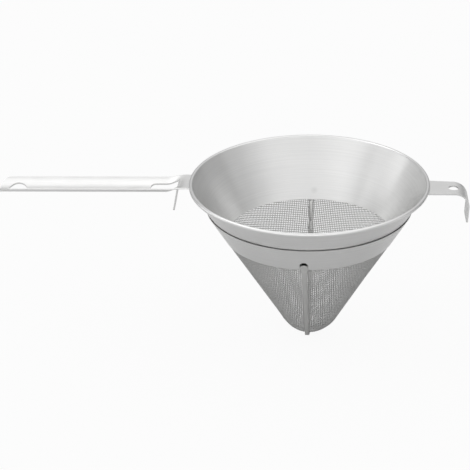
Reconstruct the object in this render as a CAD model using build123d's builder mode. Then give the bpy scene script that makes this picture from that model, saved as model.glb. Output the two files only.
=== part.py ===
"""Chinois strainer: a conical strainer of sheet steel and wire cloth, hung over a pot by handle and hook.

Millimetres. The origin is on the cone's axis, in the plane of the rim bead's centre. +Z points out of the
mouth, the handle runs along -X and the hook along +X.
"""

from build123d import *

import math
import os

# Bowl: a sheet cone whose mouth is rolled outward round a wire hoop
RIM_DIAMETER = 200.0
SHEET = 0.7
WIRE_DIAMETER = 2.0
WIRE_PLAY = 0.05
ROLL_TURN = 288.0  # degrees that the roll goes round the wire
WALL_HALF_ANGLE = 31.5  # degrees from the axis
BOWL_DEPTH = 45.5

# Mesh cone and the band that clamps its edge
LAP_GAP = 0.05
MESH = 0.4
MESH_HALF_ANGLE = 32.0  # degrees from the axis
MESH_TIP_RADIUS = 24.5
MESH_TUCK = 1.6  # how far the mesh edge stays below the band's top edge
GRID_COLUMNS = 24  # openings round the mesh cone, which stand for the fine weave
GRID_ROWS = 8
GRID_OPEN_SHARE = 0.66  # of each cell's width and of its height
BAND = 0.6
BAND_TOP_DEPTH = 20.7
BAND_BOTTOM_DEPTH = 44.5
NOTCH_WIDTH = 7.0
NOTCH_HEIGHT = 8.8

# Guard straps: two crossed U-shaped straps under the mesh
SPADE_WIDTH = 6.6
SPADE_THICKNESS = 1.0
SPADE_DROP = 3.0  # from the notch's top to the spade's top
NECKING = 4.0  # length over which the spade narrows to the strap
STRAP_WIDTH_TOP = 4.2
STRAP_WIDTH_TIP = 3.2
STRAP_THICKNESS = 1.2
STRAP_CLEARANCE = 0.3  # from the mesh
CROSSING_CLEARANCE = 0.1
STRAP_TIP_OFFSET = -1.0  # the outer strap passes the tip this far to one side
STRAP_BACK_OFFSET = -2.4  # and ends this far to that side at the back

# Handle: one pressed strap, with its places counted from the rim's outside
STRAP_STOCK = 1.2
HANDLE_LENGTH = 160.0
NECK_WIDTH = 26.4
NECK_SAGITTA = 0.15
NECK_TOP = -0.2
NECK_LENGTH = 2.5  # where the flat neck ends
SHOULDER_LENGTH = 17.5  # over which the neck turns into the full gutter
GUTTER_CHORD = 23.5
GUTTER_SAGITTA = 5.4
GUTTER_LIP = -2.2
HANDLE_DROOP = 1.4  # degrees
NOSE_LENGTH = 15.0
NOSE_FULLNESS_SHARE = 0.78  # 0.55 would make it half an ellipse, 1 a square end
HANG_HOLE_DIAMETER = 15.3
HANG_HOLE_FROM_NOSE = 15.3
WINDOW_WIDTH = 14.0
WINDOW_FROM_RIM = 8.4
WINDOW_LENGTH = 24.5
WINDOW_CORNER = 4.0
TONGUE_WIDTH = 13.0
TONGUE_RISE = 0.2  # of the tongue's root above the handle's floor there
TONGUE_DROP = 25.1  # from the neck's top face to the tongue's lower end
TONGUE_LEAN = 10.0  # degrees, away from the bowl
TONGUE_BEND = 1.6  # inner radius
TONGUE_CORNER = 3.5

# Hook, with its places counted from the rim's outside
HOOK_WIDTH = 26.2
HOOK_END_WIDTH = 23.4  # it narrows evenly from the rim to the leg
HOOK_TOP = -0.3
HOOK_LENGTH = 31.9  # to the outer face of the leg
HOOK_BEND = 12.0  # outer radius
HOOK_LEG_LEAN = 4.5  # degrees, towards the bowl
HOOK_SKEW = 5.0  # degrees that the bend is turned from square
HOOK_DROP = 26.9
HOOK_CORNER = 3.0
HOOK_HOLE_DIAMETER = 8.6
HOOK_HOLE_FROM_RIM = 19.3

WELD_GAP = 0.05  # between a strap's end and the bead that it is welded to
OVERRUN = 2.0  # how far cutters run past what they cut

RIM = RIM_DIAMETER / 2
BEAD = WIRE_DIAMETER / 2 + WIRE_PLAY + SHEET
BEAD_CENTRE = RIM - BEAD
wall = math.radians(WALL_HALF_ANGLE)
mesh_wall = math.radians(MESH_HALF_ANGLE)


def wall_radius(depth, outward):
    """Radius, at a depth below the origin, of the wall's inner face moved outward by a normal distance."""
    return BEAD_CENTRE + (outward - BEAD) / math.cos(wall) - depth * math.tan(wall)


MESH_INNER = SHEET + LAP_GAP
MESH_OUTER = MESH_INNER + MESH
BAND_INNER = MESH_OUTER + LAP_GAP
BAND_OUTER = BAND_INNER + BAND

# The mesh's outer line leaves the band's lower edge and runs down to a ball-shaped tip
MESH_START_RADIUS = wall_radius(BAND_BOTTOM_DEPTH, MESH_OUTER)
MESH_APEX = -BAND_BOTTOM_DEPTH - MESH_START_RADIUS / math.tan(mesh_wall)
TIP_CENTRE = MESH_APEX + MESH_TIP_RADIUS / math.sin(mesh_wall)


def mesh_point(depth, outward):
    """Point, as radius and height, on the mesh's outer line moved outward by a normal distance."""
    radius = MESH_START_RADIUS - (depth - BAND_BOTTOM_DEPTH) * math.tan(mesh_wall)
    return (radius + outward / math.cos(mesh_wall), -depth)


def ball_point(outward, angle):
    """Point on the tip's ball, grown by a distance, at an angle below the horizontal."""
    radius = MESH_TIP_RADIUS + outward
    return (radius * math.cos(angle), TIP_CENTRE - radius * math.sin(angle))


def tangent_angle(point, outward):
    """Angle below the horizontal at which a line from the point touches the grown ball of the tip."""
    across, up = point[0], point[1] - TIP_CENTRE
    reach = math.hypot(across, up)
    return math.acos((MESH_TIP_RADIUS + outward) / reach) - math.atan2(up, across)


# Bowl: the roll is a ring sector round the wire, and the wall leaves it on the inside
roll_start = 180.0 - WALL_HALF_ANGLE
roll_end = roll_start - ROLL_TURN
bead_plane = Plane.XZ


def bead_point(radius, degrees):
    """Point at an angle round the bead's centre, as radius and height."""
    angle = math.radians(degrees)
    return (BEAD_CENTRE + radius * math.cos(angle), radius * math.sin(angle))


with BuildPart() as bowl_cone:
    with BuildSketch(bead_plane):
        with BuildLine():
            start_outer = bead_point(BEAD, roll_start)
            start_inner = bead_point(BEAD - SHEET, roll_start)
            end_outer = bead_point(BEAD, roll_end)
            end_inner = bead_point(BEAD - SHEET, roll_end)
            middle = roll_start - ROLL_TURN / 2
            ThreePointArc(start_outer, bead_point(BEAD, middle), end_outer)
            Line(end_outer, end_inner)
            ThreePointArc(end_inner, bead_point(BEAD - SHEET, middle), start_inner)
            foot_outer = (wall_radius(BOWL_DEPTH, SHEET), -BOWL_DEPTH)
            foot_inner = (wall_radius(BOWL_DEPTH, 0), -BOWL_DEPTH)
            Polyline(start_inner, foot_outer, foot_inner, start_outer)
        make_face()
    revolve(axis=Axis.Z)
bowl_cone.part.label = "bowl_cone"

with BuildPart() as rim_wire:
    with BuildSketch(bead_plane):
        with Locations((BEAD_CENTRE, 0)):
            Circle(WIRE_DIAMETER / 2)
    revolve(axis=Axis.Z)
rim_wire.part.label = "rim_wire"

# Mesh cone: one closed shell from the tuck under the band to the ball-shaped tip
mesh_top = BAND_TOP_DEPTH + MESH_TUCK
tip_middle = (mesh_wall + math.pi / 2) / 2
ball_side = ball_point(0, mesh_wall)
ball_side_inner = ball_point(-MESH, mesh_wall)
ball_foot = ball_point(0, math.pi / 2)
ball_foot_inner = ball_point(-MESH, math.pi / 2)
# The grid's bars run down the cone and round it, each cell is open in its middle, and rows shrink downwards
column_turn = 360 / GRID_COLUMNS
open_slope = math.tan(math.radians(column_turn * GRID_OPEN_SHARE / 2))
bar_share = 1 - GRID_OPEN_SHARE


def grid_radius(row):
    """Radius of the mesh's outer line at a whole or part row of the grid, counted down from the band."""
    return MESH_START_RADIUS * (ball_side[0] / MESH_START_RADIUS) ** (row / GRID_ROWS)


def cone_depth(radius):
    """Depth below the origin at which the mesh's outer line has a radius."""
    return BAND_BOTTOM_DEPTH + (MESH_START_RADIUS - radius) / math.tan(mesh_wall)


with BuildPart() as mesh_cone:
    with BuildSketch(bead_plane):
        with BuildLine():
            top_inner = (wall_radius(mesh_top, MESH_INNER), -mesh_top)
            top_outer = (wall_radius(mesh_top, MESH_OUTER), -mesh_top)
            Polyline(top_inner, top_outer, mesh_point(BAND_BOTTOM_DEPTH, 0), ball_side)
            ThreePointArc(ball_side, ball_point(0, tip_middle), ball_foot)
            Line(ball_foot, ball_foot_inner)
            ThreePointArc(ball_foot_inner, ball_point(-MESH, tip_middle), ball_side_inner)
            Polyline(ball_side_inner, mesh_point(BAND_BOTTOM_DEPTH, -MESH), top_inner)
        make_face()
    revolve(axis=Axis.Z)
    for row in range(GRID_ROWS):
        upper = grid_radius(row + bar_share / 2)
        lower = grid_radius(row + 1 - bar_share / 2)
        inside = lower - OVERRUN
        outside = upper + OVERRUN
        with BuildSketch(Plane.XY.offset(-cone_depth(lower))):
            with PolarLocations(0, GRID_COLUMNS, start_angle=column_turn / 2):
                Polygon(
                    (inside, -inside * open_slope),
                    (outside, -outside * open_slope),
                    (outside, outside * open_slope),
                    (inside, inside * open_slope),
                    align=None,
                )
        extrude(amount=cone_depth(lower) - cone_depth(upper), mode=Mode.SUBTRACT)
mesh_cone.part.label = "mesh_cone"

# Band: a conical ring with an arched notch over each strap end
notch_top = BAND_BOTTOM_DEPTH - NOTCH_HEIGHT
# Each strap end: the direction that it faces from the axis, and how far it sits to its right there
strap_ends = (((1, 0), 0), ((-1, 0), 0), ((0, -1), 0), ((0, 1), -STRAP_BACK_OFFSET))
with BuildPart() as mesh_band:
    with BuildSketch(bead_plane):
        with BuildLine():
            Polyline(
                (wall_radius(BAND_TOP_DEPTH, BAND_INNER), -BAND_TOP_DEPTH),
                (wall_radius(BAND_TOP_DEPTH, BAND_OUTER), -BAND_TOP_DEPTH),
                (wall_radius(BAND_BOTTOM_DEPTH, BAND_OUTER), -BAND_BOTTOM_DEPTH),
                (wall_radius(BAND_BOTTOM_DEPTH, BAND_INNER), -BAND_BOTTOM_DEPTH),
                close=True,
            )
        make_face()
    revolve(axis=Axis.Z)
    for side, sideways in strap_ends:
        facing = Plane(origin=(0, 0, 0), x_dir=(-side[1], side[0], 0), z_dir=(*side, 0))
        with BuildSketch(facing):
            with Locations((sideways, -notch_top - NOTCH_WIDTH / 2)):
                Circle(NOTCH_WIDTH / 2)
            with Locations((sideways, -BAND_BOTTOM_DEPTH - OVERRUN)):
                Rectangle(
                    NOTCH_WIDTH,
                    NOTCH_HEIGHT - NOTCH_WIDTH / 2 + OVERRUN,
                    align=(Align.CENTER, Align.MIN),
                )
        extrude(amount=RIM, mode=Mode.SUBTRACT)
mesh_band.part.label = "mesh_band"

# Guard straps
spade_top = notch_top + SPADE_DROP
spade_bottom = BAND_BOTTOM_DEPTH
rod_top = spade_bottom + NECKING


def strap_profile(tip_clearance):
    """Right half of the strap's side view, from its spade to the axis under the tip."""
    tip_outer = tip_clearance + STRAP_THICKNESS
    spade_a = mesh_point(spade_top, LAP_GAP)
    spade_b = mesh_point(spade_top, LAP_GAP + SPADE_THICKNESS)
    bend_a = mesh_point(spade_bottom, LAP_GAP)
    bend_b = mesh_point(spade_bottom, LAP_GAP + SPADE_THICKNESS)
    rod_a = mesh_point(rod_top, STRAP_CLEARANCE)
    rod_b = mesh_point(rod_top, STRAP_CLEARANCE + STRAP_THICKNESS)
    inner = tangent_angle(rod_a, tip_clearance)
    outer = tangent_angle(rod_b, tip_outer)
    down = math.pi / 2
    side_a = ball_point(tip_clearance, inner)
    side_b = ball_point(tip_outer, outer)
    foot_a = ball_point(tip_clearance, down)
    foot_b = ball_point(tip_outer, down)
    Polyline(spade_a, spade_b, bend_b, rod_b, side_b)
    ThreePointArc(side_b, ball_point(tip_outer, (outer + down) / 2), foot_b)
    Line(foot_b, foot_a)
    ThreePointArc(foot_a, ball_point(tip_clearance, (inner + down) / 2), side_a)
    Polyline(side_a, rod_a, bend_a, spade_a)


def strap_outline(end_offset, tip_offset):
    """Front view of one half strap: a round-ended spade that narrows to a tapering strap, level at the tip."""
    tip = TIP_CENTRE - MESH_TIP_RADIUS
    low = tip - 2 * (STRAP_CLEARANCE + STRAP_THICKNESS) - OVERRUN
    half = SPADE_WIDTH / 2
    arch = -spade_top - half
    Polyline(
        (end_offset + half, arch),
        (end_offset + half, -spade_bottom),
        (end_offset + STRAP_WIDTH_TOP / 2, -rod_top),
        (tip_offset + STRAP_WIDTH_TIP / 2, tip),
        (tip_offset + STRAP_WIDTH_TIP / 2, low),
        (tip_offset - STRAP_WIDTH_TIP / 2, low),
        (tip_offset - STRAP_WIDTH_TIP / 2, tip),
        (end_offset - STRAP_WIDTH_TOP / 2, -rod_top),
        (end_offset - half, -spade_bottom),
        (end_offset - half, arch),
    )
    ThreePointArc((end_offset - half, arch), (end_offset, -spade_top), (end_offset + half, arch))


def half_strap(tip_clearance, end_offset, tip_offset):
    """Half a guard strap, on the +X side of the axis."""
    with BuildPart() as half:
        with BuildSketch(Plane.XZ):
            with BuildLine():
                strap_profile(tip_clearance)
            make_face()
        extrude(amount=SPADE_WIDTH + abs(end_offset) + abs(tip_offset), both=True)
        with BuildSketch(Plane.YZ):
            with BuildLine():
                strap_outline(end_offset, tip_offset)
            make_face()
        extrude(amount=RIM, mode=Mode.INTERSECT)
    return half.part


crossing = STRAP_CLEARANCE + STRAP_THICKNESS + CROSSING_CLEARANCE
side_half = half_strap(STRAP_CLEARANCE, 0, 0)
front_half = half_strap(crossing, 0, STRAP_TIP_OFFSET)
back_half = half_strap(crossing, -STRAP_BACK_OFFSET, -STRAP_TIP_OFFSET)
with BuildPart() as guard_strap_side_to_side:
    add(side_half)
    mirror(about=Plane.YZ)
guard_strap_side_to_side.part.label = "guard_strap_side_to_side"

with BuildPart() as guard_strap_front_back:
    add(front_half, rotation=(0, 0, -90))
    add(back_half, rotation=(0, 0, 90))
guard_strap_front_back.part.label = "guard_strap_front_back"

# What both weld ends are cut back from: the bead, grown by the weld gap, and all inside it
with BuildPart() as bead_cutter:
    with BuildSketch(bead_plane):
        with Locations((BEAD_CENTRE, 0)):
            Circle(BEAD + WELD_GAP)
        with Locations((BEAD_CENTRE / 2, 0)):
            Rectangle(BEAD_CENTRE, 2 * (BEAD + OVERRUN))
    revolve(axis=Axis.Z)


def gutter_section(chord, sagitta):
    """Cross-section of the handle strap: two arcs one stock thickness apart, joined by round lips."""
    radius = (chord * chord / 4 + sagitta * sagitta) / (2 * sagitta)
    spread = math.asin(chord / 2 / radius)
    lip = STRAP_STOCK / 2
    bottom = radius + STRAP_STOCK

    def at(distance, angle):
        return (distance * math.sin(angle), radius * math.cos(spread) - distance * math.cos(angle))

    left_top, right_top = at(radius, -spread), at(radius, spread)
    left_low, right_low = at(bottom, -spread), at(bottom, spread)
    lip_turn = lip / (radius + lip)
    ThreePointArc(left_top, at(radius, 0), right_top)
    ThreePointArc(right_top, at(radius + lip, spread + lip_turn), right_low)
    ThreePointArc(right_low, at(bottom, 0), left_low)
    ThreePointArc(left_low, at(radius + lip, -spread - lip_turn), left_top)


# Distances from the axis
neck_start = BEAD_CENTRE
neck_end = RIM + NECK_LENGTH
gutter_start = neck_end + SHOULDER_LENGTH
handle_end = RIM + HANDLE_LENGTH
window_start = RIM + WINDOW_FROM_RIM


def handle_station(reach):
    """Chord, sagitta and lip height of the handle at a distance from the axis, eased over the neck."""
    share = min(max((reach - neck_end) / SHOULDER_LENGTH, 0), 1)
    share = share * share * (3 - 2 * share)
    droop = max(reach - gutter_start, 0) * math.tan(math.radians(HANDLE_DROOP))
    return (
        NECK_WIDTH + (GUTTER_CHORD - NECK_WIDTH) * share,
        NECK_SAGITTA + (GUTTER_SAGITTA - NECK_SAGITTA) * share,
        NECK_TOP + (GUTTER_LIP - NECK_TOP) * share - droop,
    )


def handle_plane(reach):
    """Upright plane across the handle at a distance from the axis, with its origin between the lips."""
    return Plane(origin=(-reach, 0, handle_station(reach)[2]), x_dir=(0, 1, 0), z_dir=(1, 0, 0))


neck_steps = 6
neck_stations = [neck_end + SHOULDER_LENGTH * i / neck_steps for i in range(neck_steps + 1)]
window_middle = -(window_start + WINDOW_LENGTH / 2)
nose_middle = -(handle_end - NOSE_LENGTH)
nose_side = GUTTER_CHORD / 2 + STRAP_STOCK
hang_hole = -(handle_end - HANG_HOLE_FROM_NOSE)
handle_height = handle_end / 2
tongue_turn = math.radians(90 - TONGUE_LEAN)
tongue_root = -window_start + STRAP_STOCK
tongue_station = handle_station(-tongue_root)
tongue_top = tongue_station[2] - tongue_station[1] + TONGUE_RISE
with BuildPart() as tongue:
    with BuildSketch(Plane.XZ):
        with BuildLine() as tongue_line:
            outer_bend = TONGUE_BEND + STRAP_STOCK
            centre = (tongue_root, tongue_top - outer_bend)
            # The strip leaves the neck level, turns down round the bend's centre and runs straight to its end
            foot = (
                centre[0] - outer_bend * math.sin(tongue_turn),
                centre[1] + outer_bend * math.cos(tongue_turn),
            )
            inner_foot = (
                centre[0] - TONGUE_BEND * math.sin(tongue_turn),
                centre[1] + TONGUE_BEND * math.cos(tongue_turn),
            )
            half_turn = tongue_turn / 2
            outer_mid = (
                centre[0] - outer_bend * math.sin(half_turn),
                centre[1] + outer_bend * math.cos(half_turn),
            )
            inner_mid = (
                centre[0] - TONGUE_BEND * math.sin(half_turn),
                centre[1] + TONGUE_BEND * math.cos(half_turn),
            )
            run = (foot[1] - NECK_TOP + TONGUE_DROP) / math.sin(tongue_turn)
            along = (-run * math.cos(tongue_turn), -run * math.sin(tongue_turn))
            end_outer = (foot[0] + along[0], foot[1] + along[1])
            end_inner = (inner_foot[0] + along[0], inner_foot[1] + along[1])
            ThreePointArc((tongue_root, tongue_top), outer_mid, foot)
            Line(foot, end_outer)
            Line(end_outer, end_inner)
            Line(end_inner, inner_foot)
            ThreePointArc(inner_foot, inner_mid, (tongue_root, tongue_top - STRAP_STOCK))
            Line((tongue_root, tongue_top - STRAP_STOCK), (tongue_root, tongue_top))
        make_face()
    extrude(amount=TONGUE_WIDTH / 2, both=True)
    end_edges = tongue.edges().filter_by(lambda edge: abs(edge.length - STRAP_STOCK) < LAP_GAP)
    fillet(end_edges.group_by(Axis.Z)[0], TONGUE_CORNER)

with BuildPart() as handle:
    with BuildSketch(Plane(origin=(-neck_start, 0, NECK_TOP), x_dir=(0, -1, 0), z_dir=(-1, 0, 0))):
        with BuildLine():
            gutter_section(NECK_WIDTH, NECK_SAGITTA)
        make_face()
    extrude(amount=neck_end - neck_start)
    for reach in neck_stations:
        with BuildSketch(handle_plane(reach)):
            with BuildLine():
                gutter_section(*handle_station(reach)[:2])
            make_face()
    loft()
    for reach in (gutter_start, handle_end):
        with BuildSketch(handle_plane(reach)):
            with BuildLine():
                gutter_section(GUTTER_CHORD, GUTTER_SAGITTA)
            make_face()
    loft()
    with BuildSketch(Plane.XY.offset(-handle_height)):
        with BuildLine():
            side = (nose_middle, nose_side)
            Line((0, nose_side), side)
            Bezier(
                side,
                (nose_middle - NOSE_FULLNESS_SHARE * NOSE_LENGTH, nose_side),
                (-handle_end, NOSE_FULLNESS_SHARE * nose_side),
                (-handle_end, 0),
            )
            mirror(about=Plane.XZ)
            Line((0, nose_side), (0, -nose_side))
        make_face()
        # The neck is wider than the gutter, so the nose's outline doesn't cut it
        with Locations((-gutter_start, 0)):
            Rectangle(gutter_start, NECK_WIDTH + 2 * STRAP_STOCK, align=(Align.MIN, Align.CENTER))
    extrude(amount=2 * handle_height, mode=Mode.INTERSECT)
    with BuildSketch(Plane.XY.offset(-handle_height)):
        with Locations((hang_hole, 0)):
            Circle(HANG_HOLE_DIAMETER / 2)
        with Locations((window_middle, 0)):
            RectangleRounded(WINDOW_LENGTH, WINDOW_WIDTH, WINDOW_CORNER)
        with Locations((window_middle + WINDOW_LENGTH / 4, 0)):
            Rectangle(WINDOW_LENGTH / 2, WINDOW_WIDTH)
    extrude(amount=2 * handle_height, mode=Mode.SUBTRACT)
    add(tongue.part)
    add(bead_cutter.part, mode=Mode.SUBTRACT)
handle.part.label = "handle"

# Hook: a flat strap bent down at its end, with rounded lower corners
leg_turn = math.radians(90 + HOOK_LEG_LEAN)
hook_end = RIM + HOOK_LENGTH
hook_start = BEAD_CENTRE - 2 * OVERRUN - hook_end
taper_half = HOOK_END_WIDTH - HOOK_WIDTH / 2  # as far beyond the leg again
bend_centre = (-HOOK_BEND, HOOK_TOP - HOOK_BEND)
skew = math.radians(HOOK_SKEW)
hook_plane = Plane(
    origin=(hook_end, 0, 0),
    x_dir=(math.cos(skew), math.sin(skew), 0),
    z_dir=(math.sin(skew), -math.cos(skew), 0),
)


def hook_bend_point(radius, angle):
    """Point at an angle round the hook's bend, from the top of the bend."""
    return (bend_centre[0] + radius * math.sin(angle), bend_centre[1] + radius * math.cos(angle))


with BuildPart() as rest_hook:
    with BuildSketch(hook_plane):
        with BuildLine():
            inner_bend = HOOK_BEND - STRAP_STOCK
            outer_foot = hook_bend_point(HOOK_BEND, leg_turn)
            inner_foot = hook_bend_point(inner_bend, leg_turn)
            run = (outer_foot[1] - HOOK_TOP + HOOK_DROP) / math.sin(leg_turn)
            along = (run * math.cos(leg_turn), -run * math.sin(leg_turn))
            outer_end = (outer_foot[0] + along[0], outer_foot[1] + along[1])
            inner_end = (inner_foot[0] + along[0], inner_foot[1] + along[1])
            bend_top = hook_bend_point(HOOK_BEND, 0)
            bend_under = hook_bend_point(inner_bend, 0)
            Line((hook_start, HOOK_TOP), bend_top)
            ThreePointArc(bend_top, hook_bend_point(HOOK_BEND, leg_turn / 2), outer_foot)
            Polyline(outer_foot, outer_end, inner_end, inner_foot)
            ThreePointArc(inner_foot, hook_bend_point(inner_bend, leg_turn / 2), bend_under)
            Polyline(bend_under, (hook_start, HOOK_TOP - STRAP_STOCK), (hook_start, HOOK_TOP))
        make_face()
    extrude(amount=HOOK_WIDTH, both=True)
    with BuildSketch(Plane.XY.offset(HOOK_TOP + OVERRUN)):
        with BuildLine():
            Polyline(
                (0, HOOK_WIDTH / 2),
                (RIM, HOOK_WIDTH / 2),
                (hook_end + HOOK_LENGTH, taper_half),
                (hook_end + HOOK_LENGTH, -taper_half),
                (RIM, -HOOK_WIDTH / 2),
                (0, -HOOK_WIDTH / 2),
                close=True,
            )
        make_face()
    extrude(amount=-(HOOK_DROP + 2 * OVERRUN), mode=Mode.INTERSECT)
    hook_ends = rest_hook.edges().filter_by(lambda edge: abs(edge.length - STRAP_STOCK) < LAP_GAP)
    fillet(hook_ends.group_by(Axis.Z)[0], HOOK_CORNER)
    with BuildSketch(Plane.XY.offset(HOOK_TOP + OVERRUN)):
        with Locations((RIM + HOOK_HOLE_FROM_RIM, 0)):
            Circle(HOOK_HOLE_DIAMETER / 2)
    extrude(amount=-(2 * OVERRUN + 2 * STRAP_STOCK), mode=Mode.SUBTRACT)
    add(bead_cutter.part, mode=Mode.SUBTRACT)
rest_hook.part.label = "rest_hook"

os.makedirs("parts", exist_ok=True)
export_step(bowl_cone.part, "parts/bowl_cone.step")
export_step(rim_wire.part, "parts/rim_wire.step")
export_step(mesh_cone.part, "parts/mesh_cone.step")
export_step(mesh_band.part, "parts/mesh_band.step")
export_step(guard_strap_side_to_side.part, "parts/guard_strap_side_to_side.step")
export_step(guard_strap_front_back.part, "parts/guard_strap_front_back.step")
export_step(handle.part, "parts/handle.step")
export_step(rest_hook.part, "parts/rest_hook.step")
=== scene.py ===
"""Chinois strainer: woven wire cone, brushed steel and a soft studio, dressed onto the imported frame.

Metres. The origin is on the cone's axis, in the plane of the rim bead's centre. +Z points out of the
mouth, the handle runs along -X and the hook along +X.
"""

import math

import bpy
import numpy as np
from bpy.props import FloatProperty, FloatVectorProperty, IntProperty, PointerProperty
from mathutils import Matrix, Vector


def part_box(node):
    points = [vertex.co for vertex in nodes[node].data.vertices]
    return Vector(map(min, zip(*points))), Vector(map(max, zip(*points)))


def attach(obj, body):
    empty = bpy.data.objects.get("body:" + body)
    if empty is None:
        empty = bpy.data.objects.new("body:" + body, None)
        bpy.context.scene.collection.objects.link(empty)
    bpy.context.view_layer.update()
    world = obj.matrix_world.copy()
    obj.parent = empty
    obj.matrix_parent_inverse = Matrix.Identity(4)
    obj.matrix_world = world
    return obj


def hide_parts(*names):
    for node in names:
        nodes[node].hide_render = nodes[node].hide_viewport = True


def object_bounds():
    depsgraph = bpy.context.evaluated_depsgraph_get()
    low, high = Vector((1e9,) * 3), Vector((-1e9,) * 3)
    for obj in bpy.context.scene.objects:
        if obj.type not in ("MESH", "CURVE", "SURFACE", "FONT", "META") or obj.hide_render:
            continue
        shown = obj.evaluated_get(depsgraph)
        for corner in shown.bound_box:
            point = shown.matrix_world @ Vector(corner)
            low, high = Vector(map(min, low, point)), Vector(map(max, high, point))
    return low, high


bl_info = {
    "name": "Chinois strainer",
    "version": (1, 0, 0),
    "blender": (4, 5, 0),
    "location": "3D Viewport > Sidebar > Strainer",
    "description": "Dresses a conical strainer with woven wire, brushed steel and a soft studio",
    "category": "Add Mesh",
}

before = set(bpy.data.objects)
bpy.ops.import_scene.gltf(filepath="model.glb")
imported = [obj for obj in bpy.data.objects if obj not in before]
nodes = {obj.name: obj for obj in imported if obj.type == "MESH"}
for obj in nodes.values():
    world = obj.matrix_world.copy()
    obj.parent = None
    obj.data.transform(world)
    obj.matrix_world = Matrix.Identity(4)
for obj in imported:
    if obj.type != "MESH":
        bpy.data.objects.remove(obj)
cad_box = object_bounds()
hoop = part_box("rim_wire")
cloth_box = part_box("mesh_cone")
band_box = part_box("mesh_band")

# Cloth: stations along its three stretches, lift of the seam in wire diameters, flattening in the lap
BALL_STATIONS, CONE_STATIONS, LAP_STATIONS = 60, 80, 12
SEAM_LIFT = 1.6
LAP_FLATTENING = 0.7

# Finish: how densely the noise runs along X, Y and Z, in waves to the metre
SPUN_STREAKS = (14.0, 14.0, 1500.0)
SPUN_SMEARS = (26.0, 26.0, 18.0)
STRIP_SMEARS = (60.0, 60.0, 60.0)
WIRE_FINE = (900.0, 900.0, 900.0)
WIRE_BROAD = (30.0, 30.0, 30.0)
GUARD_GRAIN = (700.0, 700.0, 60.0)
HANDLE_GRAIN = (25.0, 1500.0, 1500.0)
HOOK_GRAIN = (30.0, 1500.0, 30.0)
ANISOTROPY = 0.75
QUARTER_TURN = 0.25
# Spot welds, as they show inside the bowl: inset from the hoop's outside, rise above the band's lower edge
WELD_INSET, WELD_RISE = 0.0265, 0.0055

# Stage: floor, and how much of the white background floor and room show to the camera or to a mirror
FLOOR_HALF = 9.0
FLOOR_PAINT = (0.6, 0.6, 0.6, 1.0)
WHITE = (1.0, 1.0, 1.0, 1.0)
FLOOR_SEEN, FLOOR_MIRRORED = 0.93, 0.06
ROOM_MIRRORED = 0.05
SENSOR = 36.0
# Softboxes: size and place
LEFT_BOX = (0.6, 0.5), (-0.80, 0.05, 0.22)
RIGHT_BOX = (0.5, 0.5), (0.80, -0.05, 0.10)
LIT_PLACE = (0.0, 0.0, -0.05)
# Heights (as the upward part of a direction) at which one band of the room changes into the next
BAND_EDGES = ((0.04, 0.16), (0.28, 0.42), (0.52, 0.70), (0.78, 0.92))
# Brightness of the room's panels: left, front, right and back, from the lowest band up
PANELS = (
    (0.51, 0.81, 0.15, 0.02),
    (0.91, 2.00, 0.44, 0.48),
    (0.02, 1.46, 0.30, 0.80),
    (2.07, 0.26, 1.29, 0.82),
)
CEILING = 1.27


class StrainerCloth(bpy.types.PropertyGroup):
    """Sizes of the wire cloth and of the cone that it is rolled into."""

    pitch: FloatProperty(
        name="Pitch", description="Distance between neighbouring wires", default=0.0016,
        unit="LENGTH", precision=5,
    )
    wire: FloatProperty(
        name="Wire", description="Diameter of the cloth's wire", default=0.00064, unit="LENGTH", precision=5
    )
    shell: FloatProperty(
        name="Cloth thickness", description="Room that the cloth has in the clamped lap", default=0.0004,
        unit="LENGTH", precision=5,
    )
    half_angle: FloatProperty(
        name="Half angle", description="Angle between the cone's wall and its axis",
        default=math.radians(32.0), subtype="ANGLE",
    )
    lap_half_angle: FloatProperty(
        name="Lap half angle", description="The same angle in the lap between bowl and band",
        default=math.radians(31.5), subtype="ANGLE",
    )
    tip_radius: FloatProperty(
        name="Tip radius", description="Outer radius of the ball-shaped tip", default=0.0245,
        unit="LENGTH", precision=5,
    )
    lap_depth: FloatProperty(
        name="Lap length", description="Height of cloth held between bowl and band", default=0.0115,
        unit="LENGTH", precision=5,
    )
    grain: FloatProperty(
        name="Grain", description="Turn of the wires against the flat sector's middle line",
        default=math.radians(0.0), subtype="ANGLE",
    )
    seam: FloatProperty(
        name="Seam", description="Turn of the seam from the middle of the back", default=math.radians(2.0),
        subtype="ANGLE",
    )
    overlap: FloatProperty(
        name="Overlap", description="Width of the seam's overlap", default=0.0022,
        unit="LENGTH", precision=5,
    )
    # The gap settings place the ball within which shade is painted above each strap's end.
    gap_height: FloatProperty(
        name="Gap height", default=0.0068, unit="LENGTH",
        description="Middle of the gap above each strap's end, above the band's lower edge",
    )
    gap_half_width: FloatProperty(
        name="Gap half width", description="Half width of that gap", default=0.0033, unit="LENGTH"
    )
    gap_standoff: FloatProperty(
        name="Gap stand-off", description="How far the ball that shades the gap stands off the wall",
        default=0.009, unit="LENGTH",
    )
    blocks: IntProperty(
        name="Blocks", description="Number of objects that each set of wires is split into", default=3
    )


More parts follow.
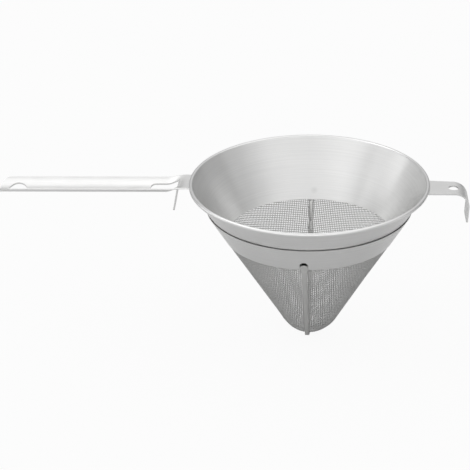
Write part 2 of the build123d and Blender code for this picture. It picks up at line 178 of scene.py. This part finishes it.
class StrainerSteel(bpy.types.PropertyGroup):
    """Colours and finishes of the steel."""

    sheet: FloatVectorProperty(
        name="Sheet", description="Colour of the bowl and the band", default=(0.80, 0.80, 0.795),
        size=3, subtype="COLOR",
    )
    strip: FloatVectorProperty(
        name="Strip", description="Colour of the handle and the hook", default=(0.82, 0.82, 0.815), size=3,
        subtype="COLOR",
    )
    guard: FloatVectorProperty(
        name="Guard", description="Colour of the guard straps", default=(0.66, 0.66, 0.65),
        size=3, subtype="COLOR",
    )
    guard_rounding: FloatProperty(
        name="Guard rounding", description="Radius that the guard straps' edges are shaded round with",
        default=0.0012, unit="LENGTH", precision=5,
    )
    cloth: FloatVectorProperty(
        name="Cloth wire", description="Colour of the woven wire", default=(0.56, 0.56, 0.555),
        size=3, subtype="COLOR",
    )
    sheet_roughness: FloatProperty(
        name="Sheet roughness", description="Roughness of the brushed sheet", default=0.30, min=0.0, max=1.0
    )
    strip_roughness: FloatProperty(
        name="Strip roughness", description="Roughness of the satin strip", default=0.36, min=0.0, max=1.0
    )
    wire_roughness: FloatProperty(
        name="Wire roughness", description="Roughness of the woven wire", default=0.38, min=0.0, max=1.0
    )


class StrainerStudio(bpy.types.PropertyGroup):
    """Camera, lamps and floor."""

    distance: FloatProperty(
        name="Camera distance", description="From the frame's origin", default=2.2, unit="LENGTH"
    )
    elevation: FloatProperty(
        name="Camera elevation", description="Height angle of the camera",
        default=math.radians(24.56), subtype="ANGLE",
    )
    heading: FloatProperty(
        name="Camera heading", description="Turn of the camera towards the hook", default=math.radians(3.4),
        subtype="ANGLE",
    )
    lens: FloatProperty(name="Lens", description="Focal length in millimetres", default=203.0)
    origin_right: FloatProperty(
        name="Origin right", default=0.3161,
        description="Frame's origin right of the picture's middle, in half picture widths",
    )
    origin_up: FloatProperty(
        name="Origin up", default=0.2171,
        description="Frame's origin above the picture's middle, in half picture widths",
    )
    floor_drop: FloatProperty(
        name="Floor drop", description="Gap between the strainer's tip and the floor", default=0.001,
        unit="LENGTH",
    )
    world_level: FloatProperty(name="World level", description="Brightness of the room", default=1.0)
    left_power: FloatProperty(
        name="Left power", description="Power of the low left softbox in watts", default=0.51
    )
    right_power: FloatProperty(
        name="Right power", description="Power of the low right softbox in watts", default=0.23
    )


# Mesh making


def mesh_object(name, points, quads, smooth=True):
    """Makes an object from an array of points and an array of quads, with unused points dropped."""
    used, packed = np.unique(quads, return_inverse=True)
    packed = packed.reshape(quads.shape)
    mesh = bpy.data.meshes.new(name)
    mesh.vertices.add(len(used))
    mesh.vertices.foreach_set("co", points[used].astype(np.float32).ravel())
    mesh.loops.add(packed.size)
    mesh.loops.foreach_set("vertex_index", packed.astype(np.int32).ravel())
    mesh.polygons.add(len(packed))
    mesh.polygons.foreach_set("loop_start", np.arange(0, packed.size, 4, dtype=np.int32))
    mesh.polygons.foreach_set("use_smooth", np.full(len(packed), smooth))
    mesh.update(calc_edges=True)
    mesh.validate()
    made = bpy.data.objects.new(name, mesh)
    bpy.context.scene.collection.objects.link(made)
    return made


def cloth_profile(cloth):
    """The cloth's middle line from the tip's pole to the top of the lap, and where it lies on the flat.

    The line is an arc of the tip's ball up to where it touches the cone, the cone's straight line up to
    the band's lower edge, and the lap's straight line. On the flat the cone unrolls to a sector, so a
    point lies at its slant distance from the cone's apex, and the ball is stretched evenly to fill the
    sector's middle.
    """
    middle = cloth.tip_radius - cloth.shell / 2
    centre = cloth_box[0].z + cloth.tip_radius
    side = math.pi / 2 - cloth.half_angle
    turn = np.linspace(0, side, BALL_STATIONS)
    arc_radius = middle * np.sin(turn)
    arc_height = centre - middle * np.cos(turn)
    edge = band_box[0].z
    run = (edge - arc_height[-1]) / math.cos(cloth.half_angle)
    along = np.linspace(0, run, CONE_STATIONS)[1:]
    cone_radius = arc_radius[-1] + along * math.sin(cloth.half_angle)
    cone_height = arc_height[-1] + along * math.cos(cloth.half_angle)
    lap = np.linspace(0, cloth.lap_depth, LAP_STATIONS)[1:] / math.cos(cloth.lap_half_angle)
    lap_radius = cone_radius[-1] + lap * math.sin(cloth.lap_half_angle)
    lap_height = cone_height[-1] + lap * math.cos(cloth.lap_half_angle)
    radius = np.concatenate([arc_radius, cone_radius, lap_radius])
    height = np.concatenate([arc_height, cone_height, lap_height])
    start = arc_radius[-1] / math.sin(cloth.half_angle)
    flat = np.concatenate([start * turn / side, start + along, start + run + lap])
    step = np.gradient(np.stack([radius, height]), axis=1)
    step /= np.linalg.norm(step, axis=0)
    return flat, radius, height, step[1], -step[0], start + run


def notch_gap(cloth):
    """Centre and radius of the ball whose cut with the wall is the painted shade in the gap between a
    strap's end and its notch.

    The ball's centre stands off the wall along the wall's normal, so the ball reaches the sheet's outer
    face and not its inner one. Its radius is the hypotenuse of that stand-off and the gap's half width.
    """
    profile = cloth_profile(cloth)
    depth = band_box[0].z + cloth.gap_height
    radius = float(np.interp(depth, profile[2], profile[1]))
    out, down = math.cos(cloth.lap_half_angle), math.sin(cloth.lap_half_angle)
    centre = (radius + cloth.gap_standoff * out, 0.0, depth - cloth.gap_standoff * down)
    return centre, math.hypot(cloth.gap_standoff, cloth.gap_half_width)


def woven_points(cloth):
    """Crossing points of the cloth on the cone, with their outward normals and which of them exist.

    A square grid of the pitch is turned by the grain and read as polar places on the flat sector. The flat
    distance gives radius, height and normal from the profile, and the flat angle divided by the sine of the
    half angle gives the angle round the axis. One edge of the sector is raised over the other at the seam.
    """
    flat, radius, height, out, up, edge = cloth_profile(cloth)
    reach = int(flat[-1] / cloth.pitch) + 2
    count = np.arange(-reach, reach + 1) + 0.5
    across, down = np.meshgrid(count * cloth.pitch, count * cloth.pitch, indexing="ij")
    u = across * math.cos(cloth.grain) - down * math.sin(cloth.grain)
    v = across * math.sin(cloth.grain) + down * math.cos(cloth.grain)
    distance = np.hypot(u, v)
    angle = np.arctan2(u, v)
    limit = math.pi * math.sin(cloth.half_angle)
    spare = cloth.overlap / np.maximum(distance, cloth.overlap)
    exists = (distance < flat[-1]) & (angle > -limit) & (angle < limit + spare)
    ramp = np.clip((angle - limit) * distance / cloth.overlap + 1.0, 0, 1)
    raised = ramp * ramp * (3 - 2 * ramp) * SEAM_LIFT * cloth.wire
    turn = angle / math.sin(cloth.half_angle) + cloth.seam
    r = np.interp(distance, flat, radius)
    z = np.interp(distance, flat, height)
    nr = np.interp(distance, flat, out)
    nz = np.interp(distance, flat, up)
    x, y = np.sin(turn), -np.cos(turn)
    normals = np.stack([nr * x, nr * y, nz], axis=-1)
    points = np.stack([r * x, r * y, z], axis=-1) + normals * raised[..., None]
    clamped = np.clip((distance - edge) / (2 * cloth.pitch), 0, 1)
    return points, normals, exists, 1 - LAP_FLATTENING * clamped


def wires(name, points, normals, exists, lift, half, blocks):
    """Four-sided wires along the second axis of a grid of crossing points, lifted over and under in turn.

    A wire's ring at a crossing is the crossing, moved along the normal by the lift, plus the wire's half
    thickness along the normal, across the wire, and back. Quads join the rings of neighbouring crossings
    that both exist, and a quad closes each end.
    """
    rows, columns = exists.shape
    along = np.gradient(points, axis=1)
    along /= np.maximum(np.linalg.norm(along, axis=-1, keepdims=True), 1e-12)
    across = np.cross(along, normals)
    across /= np.maximum(np.linalg.norm(across, axis=-1, keepdims=True), 1e-12)
    centre = points + normals * lift[..., None]
    ring = np.stack([normals, across, -normals, -across], axis=2)
    corners = centre[:, :, None, :] + half * ring
    number = np.arange(rows * columns * 4).reshape(rows, columns, 4)
    joined = exists[:, :-1] & exists[:, 1:]
    following = np.roll(number, -1, axis=2)
    sides = np.stack([number[:, :-1], following[:, :-1], following[:, 1:], number[:, 1:]], axis=-1)
    off = np.zeros((rows, 1), bool)
    before = np.concatenate([off, joined], axis=1)
    after = np.concatenate([joined, off], axis=1)
    first, last = after & ~before, before & ~after
    flat_points = corners.reshape(-1, 3)
    weight = np.cumsum(joined.sum(axis=1))
    share = np.minimum((weight - 1) * blocks // max(weight[-1], 1), blocks - 1)
    made = []
    for block in range(blocks):
        own = share == block
        keep = own[:, None]
        quads = np.concatenate([
            sides[joined & keep].reshape(-1, 4),
            number[first & keep][:, ::-1],
            number[last & keep],
        ])
        made.append(mesh_object(f"{name}_{block + 1}", flat_points, quads))
    return made


# Materials


def node(tree, kind, inputs=None, **settings):
    """Adds a shader node, sets its properties, and sets or links its inputs."""
    made = tree.nodes.new(kind)
    for key, value in settings.items():
        setattr(made, key, value)
    for key, value in (inputs or {}).items():
        if isinstance(value, bpy.types.NodeSocket):
            tree.links.new(value, made.inputs[key])
        else:
            made.inputs[key].default_value = value
    return made


def new_material(name):
    """An empty material with a principled shader and its output."""
    material = bpy.data.materials.new(name)
    material.use_nodes = True
    tree = material.node_tree
    tree.nodes.clear()
    output = tree.nodes.new("ShaderNodeOutputMaterial")
    shader = tree.nodes.new("ShaderNodeBsdfPrincipled")
    tree.links.new(shader.outputs["BSDF"], output.inputs["Surface"])
    return material, tree, shader


def maths(tree, operation, first, second=0.0, third=0.0):
    """Output of a maths node."""
    made = node(tree, "ShaderNodeMath", {0: first, 1: second, 2: third}, operation=operation)
    return made.outputs[0]


def scaled_noise(tree, place, scale, size, detail=3.0, roughness=0.6):
    """Noise on Object coordinates that are stretched by a factor on each axis."""
    moved = node(tree, "ShaderNodeVectorMath", {0: place, 1: scale}, operation="MULTIPLY")
    found = node(
        tree, "ShaderNodeTexNoise",
        {"Vector": moved.outputs[0], "Scale": size, "Detail": detail, "Roughness": roughness},
    )
    return found.outputs["Fac"]


def ranged(tree, value, low, high, from_low=0.3, from_high=0.7):
    """A value moved from one range to another."""
    made = node(
        tree, "ShaderNodeMapRange",
        {"Value": value, "From Min": from_low, "From Max": from_high, "To Min": low, "To Max": high},
    )
    return made.outputs["Result"]


def eased(tree, value, from_low, from_high, low, high):
    """A value moved from one range to another by a smooth step."""
    made = node(
        tree, "ShaderNodeMapRange",
        {"Value": value, "From Min": from_low, "From Max": from_high, "To Min": low, "To Max": high},
        interpolation_type="SMOOTHSTEP",
    )
    return made.outputs["Result"]


def toned(tree, colour, level):
    """A colour multiplied by a level."""
    grey = node(tree, "ShaderNodeCombineXYZ", {"X": level, "Y": level, "Z": level})
    made = node(tree, "ShaderNodeVectorMath", {0: colour, 1: grey.outputs[0]}, operation="MULTIPLY")
    return made.outputs[0]


def four_ends(tree, place):
    """A place turned to the nearest of the four strap ends: distance out, distance sideways, height."""
    parts = node(tree, "ShaderNodeSeparateXYZ", {0: place})
    x, y = maths(tree, "ABSOLUTE", parts.outputs[0]), maths(tree, "ABSOLUTE", parts.outputs[1])
    spot = node(
        tree, "ShaderNodeCombineXYZ",
        {"X": maths(tree, "MAXIMUM", x, y), "Y": maths(tree, "MINIMUM", x, y), "Z": parts.outputs[2]},
    )
    return spot.outputs[0]


def painted_gap_shade(tree, place, gap):
    """Painted shade in the gap above each strap's end: a level that falls to near black within a ball
    outside the wall.
    """
    centre, radius = gap
    away = node(
        tree, "ShaderNodeVectorMath", {0: four_ends(tree, place), 1: centre}, operation="DISTANCE"
    )
    return ranged(tree, away.outputs["Value"], 0.03, 1.0, radius - 0.0001, radius + 0.00005)


def spun_steel(name, colour, roughness, weld=None, gap=None):
    """Sheet steel brushed round the axis: fine streaks along circles, sharp across them, with faint smears.

    The streaks are noise that changes fast with height and slowly round the axis. The shader's tangent is
    the direction round the axis, the cross product of the axis and the place. On the bowl, a faint mark
    shows each spot weld inside, and shade is painted near black into the gap above each strap's end
    outside.
    """
    material, tree, shader = new_material(name)
    place = node(tree, "ShaderNodeTexCoord").outputs["Object"]
    streaks = scaled_noise(tree, place, SPUN_STREAKS, 1.0, 3.0)
    smears = scaled_noise(tree, place, SPUN_SMEARS, 1.0, 4.0)
    level = ranged(tree, streaks, 0.95, 1.02)
    level = maths(tree, "MULTIPLY", level, ranged(tree, smears, 0.975, 1.01))
    if weld is not None:
        away = node(
            tree, "ShaderNodeVectorMath", {0: four_ends(tree, place), 1: weld}, operation="DISTANCE"
        )
        mark = ranged(tree, away.outputs["Value"], 0.90, 1.0, 0.0008, 0.0036)
        # The weld mark is the steel's own tone; the gap term is painted shade, near black in the gap above
        # each strap's end.
        level = maths(tree, "MULTIPLY", level, maths(tree, "MULTIPLY", mark, painted_gap_shade(tree, place, gap)))
    tree.links.new(toned(tree, colour, level), shader.inputs["Base Color"])
    tree.links.new(
        maths(tree, "MULTIPLY_ADD", streaks, 0.10, roughness - 0.05), shader.inputs["Roughness"]
    )
    round_axis = node(
        tree, "ShaderNodeVectorMath", {0: (0.0, 0.0, 1.0), 1: place}, operation="CROSS_PRODUCT"
    )
    tangent = node(tree, "ShaderNodeVectorMath", {0: round_axis.outputs[0]}, operation="NORMALIZE")
    tree.links.new(tangent.outputs[0], shader.inputs["Tangent"])
    bump = node(
        tree, "ShaderNodeBump", {"Strength": 0.15, "Distance": 0.00002, "Height": streaks}
    )
    tree.links.new(bump.outputs[0], shader.inputs["Normal"])
    shader.inputs["Metallic"].default_value = 1.0
    shader.inputs["Anisotropic"].default_value = ANISOTROPY
    shader.inputs["Anisotropic Rotation"].default_value = QUARTER_TURN
    return material


def satin_steel(name, colour, roughness, stretch, rounding=0.0):
    """Pressed strip with a fine satin grain along it, faint handling smears and edges worn round."""
    material, tree, shader = new_material(name)
    place = node(tree, "ShaderNodeTexCoord").outputs["Object"]
    grain = scaled_noise(tree, place, stretch, 1.0, 3.0)
    smears = scaled_noise(tree, place, STRIP_SMEARS, 1.0, 4.0)
    level = maths(tree, "MULTIPLY", ranged(tree, grain, 0.95, 1.03), ranged(tree, smears, 0.96, 1.01))
    tree.links.new(toned(tree, colour, level), shader.inputs["Base Color"])
    tree.links.new(
        maths(tree, "MULTIPLY_ADD", smears, 0.16, roughness - 0.08), shader.inputs["Roughness"]
    )
    bump = node(tree, "ShaderNodeBump", {"Strength": 0.2, "Distance": 0.00003, "Height": grain})
    if rounding:
        rounded = node(tree, "ShaderNodeBevel", {"Radius": rounding}, samples=8)
        tree.links.new(rounded.outputs[0], bump.inputs["Normal"])
    tree.links.new(bump.outputs[0], shader.inputs["Normal"])
    shader.inputs["Metallic"].default_value = 1.0
    return material


def drawn_wire(name, colour, roughness, gap=None):
    """Woven wire: steel whose brightness changes a little from crossing to crossing and over the cone."""
    material, tree, shader = new_material(name)
    place = node(tree, "ShaderNodeTexCoord").outputs["Object"]
    fine = scaled_noise(tree, place, WIRE_FINE, 1.0, 1.0)
    broad = scaled_noise(tree, place, WIRE_BROAD, 1.0, 3.0)
    level = maths(tree, "MULTIPLY", ranged(tree, fine, 0.90, 1.05), ranged(tree, broad, 0.95, 1.03))
    if gap is not None:
        # Painted shade: the wires darken to near black in the gap above each strap's end.
        level = maths(tree, "MULTIPLY", level, painted_gap_shade(tree, place, gap))
    tree.links.new(toned(tree, colour, level), shader.inputs["Base Color"])
    tree.links.new(
        maths(tree, "MULTIPLY_ADD", fine, 0.12, roughness - 0.06), shader.inputs["Roughness"]
    )
    shader.inputs["Metallic"].default_value = 1.0
    return material


def dress(target, material):
    """Puts one material on an object, in place of all that it has."""
    target.data.materials.clear()
    target.data.materials.append(material)


# Pieces and stage


class STRAINER_OT_bowl(bpy.types.Operator):
    """Finishes the bowl, its rolled bead and the hoop inside the bead"""

    bl_idname = "strainer.bowl"
    bl_label = "Bowl"

    def execute(self, context):
        steel = context.scene.strainer_steel
        weld = (hoop[1].x - WELD_INSET, 0.0, band_box[0].z + WELD_RISE)
        # The bowl's material also paints shade near black into the gap above each strap's end.
        gap = notch_gap(context.scene.strainer_cloth)
        dress(nodes["bowl_cone"], spun_steel("bowl_sheet", steel.sheet, steel.sheet_roughness, weld, gap))
        dress(nodes["rim_wire"], drawn_wire("hoop_wire", steel.guard, steel.wire_roughness))
        return {"FINISHED"}


class STRAINER_OT_band(bpy.types.Operator):
    """Finishes the band that clamps the edge of the wire cloth"""

    bl_idname = "strainer.band"
    bl_label = "Band"

    def execute(self, context):
        steel = context.scene.strainer_steel
        dress(nodes["mesh_band"], spun_steel("band_sheet", steel.sheet, steel.sheet_roughness))
        return {"FINISHED"}


class STRAINER_OT_wire_cone(bpy.types.Operator):
    """Weaves the wire cone, in place of the plain cone with openings that stands in for it"""

    bl_idname = "strainer.wire_cone"
    bl_label = "Wire cone"

    def execute(self, context):
        cloth = context.scene.strainer_cloth
        steel = context.scene.strainer_steel
        points, normals, exists, free = woven_points(cloth)
        rows, columns = exists.shape
        turn = 1.0 - 2.0 * ((np.arange(rows)[:, None] + np.arange(columns)[None, :]) % 2)
        lift = turn * free * cloth.wire / 2
        half = cloth.wire / 2
        made = wires("mesh_warp", points, normals, exists, lift, half, cloth.blocks)
        made += wires(
            "mesh_weft", points.transpose(1, 0, 2), normals.transpose(1, 0, 2), exists.T, -lift.T, half,
            cloth.blocks,
        )
        # The cloth's material paints shade near black into the gap above each strap's end.
        material = drawn_wire("wire_cloth", steel.cloth, steel.wire_roughness, notch_gap(cloth))
        for piece in made:
            dress(piece, material)
            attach(piece, "root")
            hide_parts("mesh_cone")
        return {"FINISHED"}


class STRAINER_OT_guard_straps(bpy.types.Operator):
    """Finishes the two crossed straps that guard the tip"""

    bl_idname = "strainer.guard_straps"
    bl_label = "Guard straps"

    def execute(self, context):
        steel = context.scene.strainer_steel
        material = satin_steel(
            "guard_strap", steel.guard, steel.strip_roughness, GUARD_GRAIN, steel.guard_rounding
        )
        dress(nodes["guard_strap_side_to_side"], material)
        dress(nodes["guard_strap_front_back"], material)
        return {"FINISHED"}


class STRAINER_OT_handle(bpy.types.Operator):
    """Finishes the pressed handle with its tongue"""

    bl_idname = "strainer.handle"
    bl_label = "Handle"

    def execute(self, context):
        steel = context.scene.strainer_steel
        dress(nodes["handle"], satin_steel(
            "handle_strip", steel.strip, steel.strip_roughness, HANDLE_GRAIN
        ))
        return {"FINISHED"}


class STRAINER_OT_rest_hook(bpy.types.Operator):
    """Finishes the hook that rests on the pot's rim"""

    bl_idname = "strainer.rest_hook"
    bl_label = "Rest hook"

    def execute(self, context):
        steel = context.scene.strainer_steel
        dress(nodes["rest_hook"], satin_steel(
            "hook_strip", steel.strip, steel.strip_roughness, HOOK_GRAIN
        ))
        return {"FINISHED"}


def aim(target, place, towards):
    """Puts an object at a place, facing another."""
    direction = towards - place
    target.location = place
    target.rotation_mode = "QUATERNION"
    target.rotation_quaternion = direction.to_track_quat("-Z", "Y")


def softbox(name, power, size, place, towards):
    """A rectangular area lamp facing a place."""
    data = bpy.data.lights.new(name, "AREA")
    data.shape = "RECTANGLE"
    data.size, data.size_y = size
    data.energy = power
    lamp = bpy.data.objects.new(name, data)
    bpy.context.scene.collection.objects.link(lamp)
    aim(lamp, place, towards)
    return lamp


def room_level(tree):
    """Brightness of the room by direction: soft panels in four height bands on four sides, and a ceiling.

    A band is one smooth step up at its lower edge times one step down at its upper edge. A side's share is
    the square of the cosine between the level direction and that side, so the four shares add up to one.
    """
    way = node(tree, "ShaderNodeSeparateXYZ", {0: node(tree, "ShaderNodeTexCoord").outputs["Generated"]})
    x, y, z = way.outputs[0], way.outputs[1], way.outputs[2]
    level_part = maths(tree, "ADD", maths(tree, "MULTIPLY", x, x), maths(tree, "MULTIPLY", y, y))
    level_part = maths(tree, "MAXIMUM", level_part, 0.000001)
    shares = []
    for axis, sign in ((x, -1.0), (y, -1.0), (x, 1.0), (y, 1.0)):
        facing = maths(tree, "MAXIMUM", maths(tree, "MULTIPLY", axis, sign), 0.0)
        shares.append(maths(tree, "DIVIDE", maths(tree, "MULTIPLY", facing, facing), level_part))
    total = eased(tree, z, *BAND_EDGES[-1], 0.0, CEILING)
    for band, panels in enumerate(PANELS):
        side_total = 0.0
        for share, panel in zip(shares, panels):
            side_total = maths(tree, "MULTIPLY_ADD", share, panel, side_total)
        within = eased(tree, z, *BAND_EDGES[band], 1.0, 0.0)
        if band:
            within = maths(tree, "MULTIPLY", within, eased(tree, z, *BAND_EDGES[band - 1], 0.0, 1.0))
        total = maths(tree, "MULTIPLY_ADD", within, side_total, total)
    return total


class STRAINER_OT_studio(bpy.types.Operator):
    """Makes the camera, the lamps, the world and the floor"""

    bl_idname = "strainer.studio"
    bl_label = "Studio"

    def execute(self, context):
        studio = context.scene.strainer_studio
        vector = type(cad_box[0])
        scene = context.scene
        data = bpy.data.cameras.new("camera")
        camera = bpy.data.objects.new("camera", data)
        scene.collection.objects.link(camera)
        data.lens, data.sensor_width = studio.lens, SENSOR
        flat = math.cos(studio.elevation)
        place = studio.distance * vector((
            math.sin(studio.heading) * flat, -math.cos(studio.heading) * flat, math.sin(studio.elevation)
        ))
        aim(camera, place, vector((0.0, 0.0, 0.0)))
        # The camera is then turned so that the frame's origin comes right of and above the middle
        half = data.sensor_width / 2 / data.lens
        seen = vector((studio.origin_right * half, studio.origin_up * half, -1.0))
        camera.rotation_quaternion @= seen.rotation_difference(vector((0.0, 0.0, -1.0)))
        data.clip_start, data.clip_end = 0.05, 60.0
        scene.camera = camera

        for name, power, (size, place) in (
            ("left_low", studio.left_power, LEFT_BOX), ("right_low", studio.right_power, RIGHT_BOX)
        ):
            softbox(name, power, size, vector(place), vector(LIT_PLACE))

        low = cad_box[0].z - studio.floor_drop
        half = FLOOR_HALF
        corners = np.array([[-half, -half, low], [half, -half, low], [half, half, low], [-half, half, low]])
        floor = mesh_object("floor", corners, np.array([[0, 1, 2, 3]]), smooth=False)
        material = bpy.data.materials.new("floor_paint")
        material.use_nodes = True
        tree = material.node_tree
        tree.nodes.clear()
        path = node(tree, "ShaderNodeLightPath")
        mirrored = maths(
            tree, "MAXIMUM", path.outputs["Is Glossy Ray"], path.outputs["Is Transmission Ray"]
        )
        share = maths(
            tree, "MAXIMUM",
            maths(tree, "MULTIPLY", path.outputs["Is Camera Ray"], FLOOR_SEEN),
            maths(tree, "MULTIPLY", mirrored, FLOOR_MIRRORED),
        )
        paint = node(tree, "ShaderNodeBsdfDiffuse", {"Color": FLOOR_PAINT})
        white = node(tree, "ShaderNodeEmission", {"Color": WHITE, "Strength": 1.0})
        mix = node(
            tree, "ShaderNodeMixShader", {0: share, 1: paint.outputs[0], 2: white.outputs[0]}
        )
        output = node(tree, "ShaderNodeOutputMaterial")
        tree.links.new(mix.outputs[0], output.inputs["Surface"])
        dress(floor, material)

        world = bpy.data.worlds.new("room")
        world.use_nodes = True
        tree = world.node_tree
        tree.nodes.clear()
        path = node(tree, "ShaderNodeLightPath")
        seen = maths(tree, "MAXIMUM", path.outputs["Is Camera Ray"], path.outputs["Is Transmission Ray"])
        glossy = maths(tree, "MULTIPLY", path.outputs["Is Glossy Ray"], ROOM_MIRRORED)
        seen = maths(tree, "MAXIMUM", seen, glossy)
        room = maths(tree, "MULTIPLY", room_level(tree), studio.world_level)
        strength = node(
            tree, "ShaderNodeMapRange",
            {"Value": seen, "To Min": room, "To Max": 1.0},
        )
        sky = node(
            tree, "ShaderNodeBackground", {"Color": WHITE, "Strength": strength.outputs["Result"]}
        )
        output = node(tree, "ShaderNodeOutputWorld")
        tree.links.new(sky.outputs[0], output.inputs["Surface"])
        scene.world = world
        scene.view_settings.view_transform = "Standard"
        return {"FINISHED"}


class STRAINER_PT_panel(bpy.types.Panel):
    """Lists the strainer's pieces and their settings"""

    bl_idname = "STRAINER_PT_panel"
    bl_label = "Chinois strainer"
    bl_space_type = "VIEW_3D"
    bl_region_type = "UI"
    bl_category = "Strainer"

    def draw(self, context):
        layout = self.layout
        for group in (
            context.scene.strainer_cloth, context.scene.strainer_steel, context.scene.strainer_studio
        ):
            box = layout.box()
            for key in group.bl_rna.properties.keys():
                if key not in ("rna_type", "name"):
                    box.prop(group, key)
        for piece in OPERATORS:
            layout.operator(piece.bl_idname)


GROUPS = (StrainerCloth, StrainerSteel, StrainerStudio)
OPERATORS = (
    STRAINER_OT_bowl,
    STRAINER_OT_band,
    STRAINER_OT_wire_cone,
    STRAINER_OT_guard_straps,
    STRAINER_OT_handle,
    STRAINER_OT_rest_hook,
    STRAINER_OT_studio,
)


def register():
    """Registers the classes and hangs the settings on the scene."""
    for item in (*GROUPS, *OPERATORS, STRAINER_PT_panel):
        bpy.utils.register_class(item)
    bpy.types.Scene.strainer_cloth = PointerProperty(type=StrainerCloth)
    bpy.types.Scene.strainer_steel = PointerProperty(type=StrainerSteel)
    bpy.types.Scene.strainer_studio = PointerProperty(type=StrainerStudio)


def unregister():
    """Takes the settings off the scene and unregisters the classes."""
    del bpy.types.Scene.strainer_studio
    del bpy.types.Scene.strainer_steel
    del bpy.types.Scene.strainer_cloth
    for item in reversed((*GROUPS, *OPERATORS, STRAINER_PT_panel)):
        bpy.utils.unregister_class(item)


def main():
    """Registers the add-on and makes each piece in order."""
    register()
    bpy.ops.strainer.bowl()
    bpy.ops.strainer.band()
    bpy.ops.strainer.wire_cone()
    bpy.ops.strainer.guard_straps()
    bpy.ops.strainer.handle()
    bpy.ops.strainer.rest_hook()
    bpy.ops.strainer.studio()


if __name__ == "__main__":
    main()
